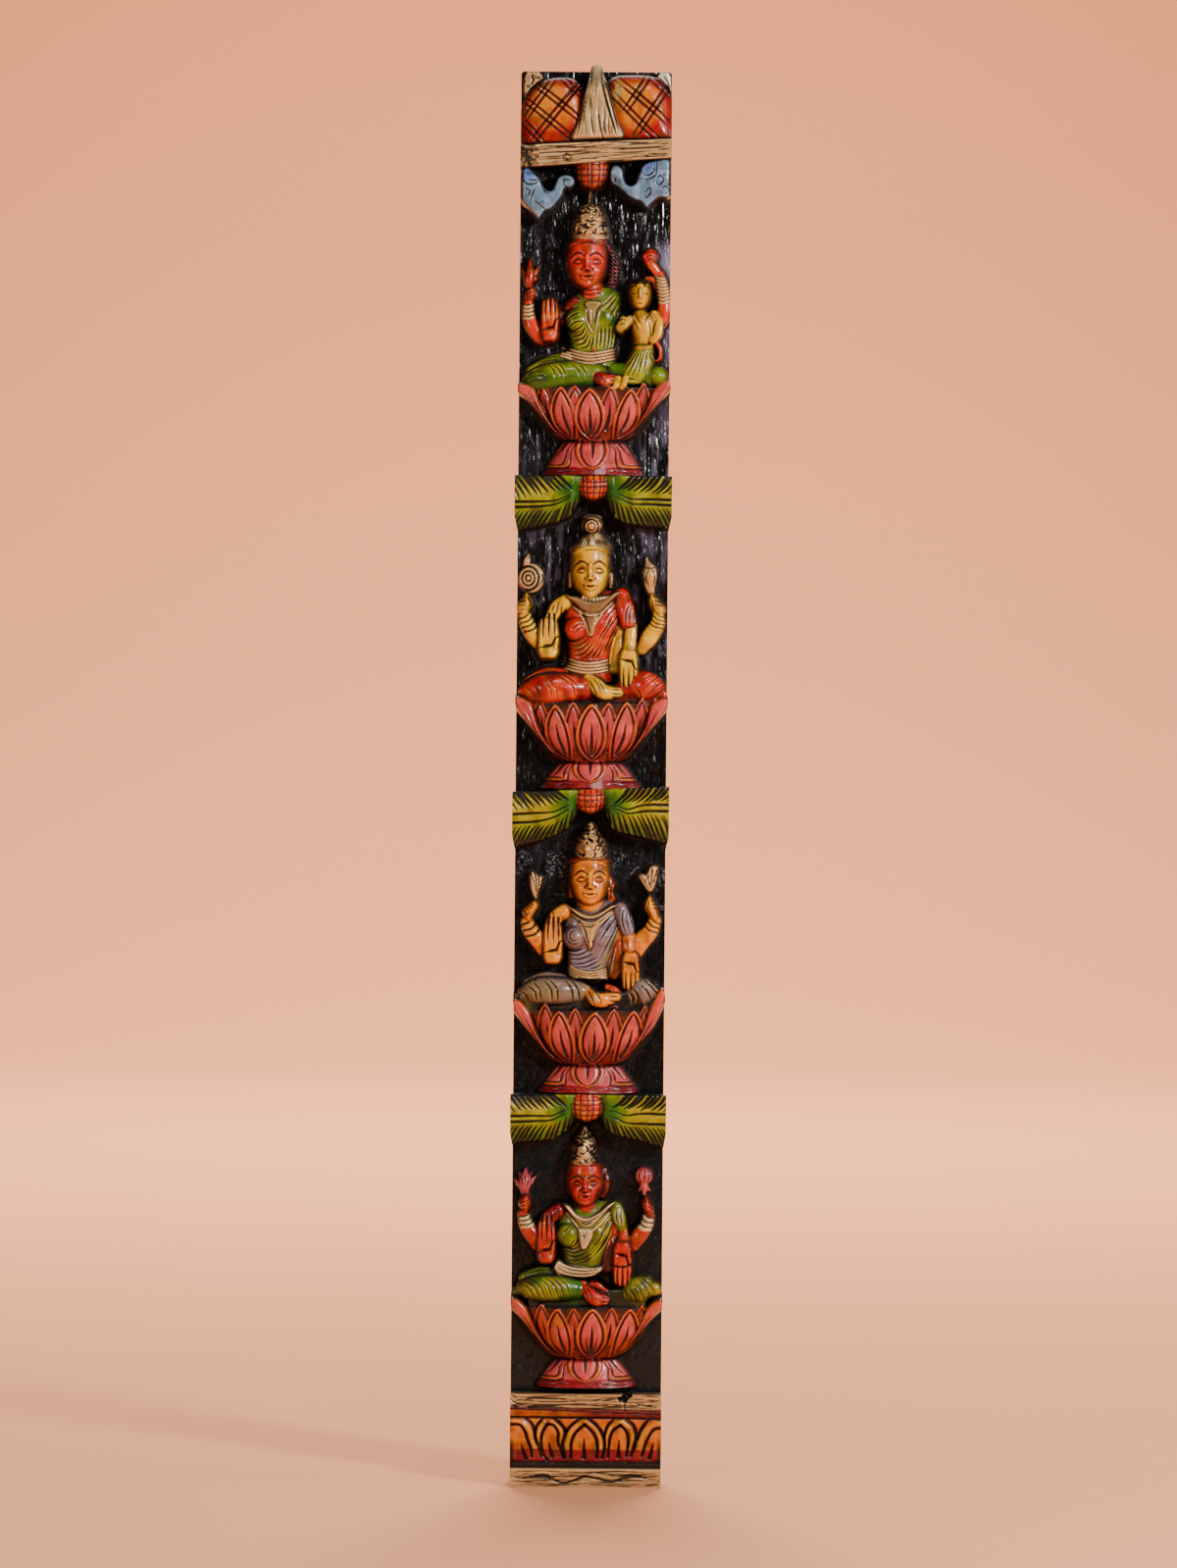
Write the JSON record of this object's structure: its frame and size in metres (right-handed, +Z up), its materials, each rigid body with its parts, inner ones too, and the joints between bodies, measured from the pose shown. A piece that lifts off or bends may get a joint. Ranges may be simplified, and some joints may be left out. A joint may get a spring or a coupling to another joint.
{
  "type": "carved wooden wall panel",
  "caption": "Tall narrow carved and painted wooden wall panel: stacked storeys of seated four-armed figures on lotuses under leaf canopies, above a petal frieze",
  "frame": {"origin": "middle of the flat back, which lies against the wall", "axes": "+X to the viewer's right, +Z up the panel, the carved side faces -Y and +Y points into the wall"},
  "size_m": [0.134, 0.049, 1.2251],
  "materials": {
    "painted_wood": "carved, painted in red, green, gold and black, and varnished"
  },
  "bodies": {
    "root": {"carved_panel": "painted_wood"}
  },
  "joints": []
}
